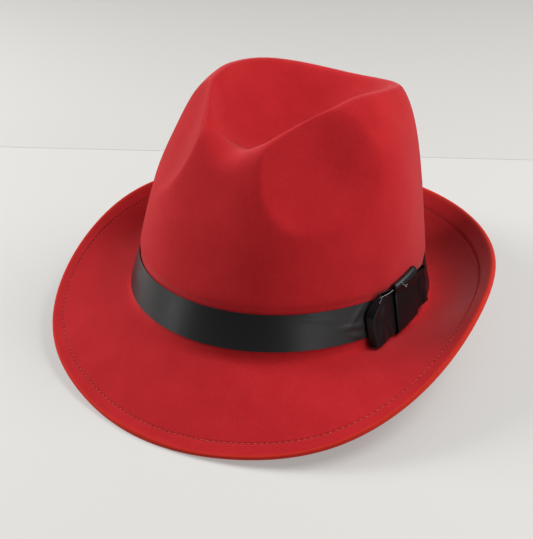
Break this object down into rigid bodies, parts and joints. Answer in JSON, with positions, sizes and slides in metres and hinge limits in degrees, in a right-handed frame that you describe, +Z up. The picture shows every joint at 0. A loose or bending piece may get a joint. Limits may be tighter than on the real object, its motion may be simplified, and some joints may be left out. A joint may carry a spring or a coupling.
{
  "type": "felt hat with ribbon and side bow",
  "caption": "Pressed felt fedora hat with a teardrop crown, front pinches, a snap brim with a stitched hem, and a satin ribbon with a flat side bow.",
  "frame": {"origin": "on the floor under the middle of the hat's bounding box, the hat lying as it rests by itself", "axes": "+Z up from the floor, -Y towards the front of the hat, +X towards the wearer's left, the bow's side"},
  "size_m": [0.2664, 0.2867, 0.1504],
  "materials": {
    "felt": "matt pressed felt, red, with short fibres",
    "satin_ribbon": "black satin ribbon, soft sheen"
  },
  "bodies": {
    "root": {"hat_body": "felt", "ribbon_band": "satin_ribbon", "bow_loop_front": "satin_ribbon", "bow_loop_back": "satin_ribbon", "bow_knot": "satin_ribbon"}
  },
  "joints": []
}
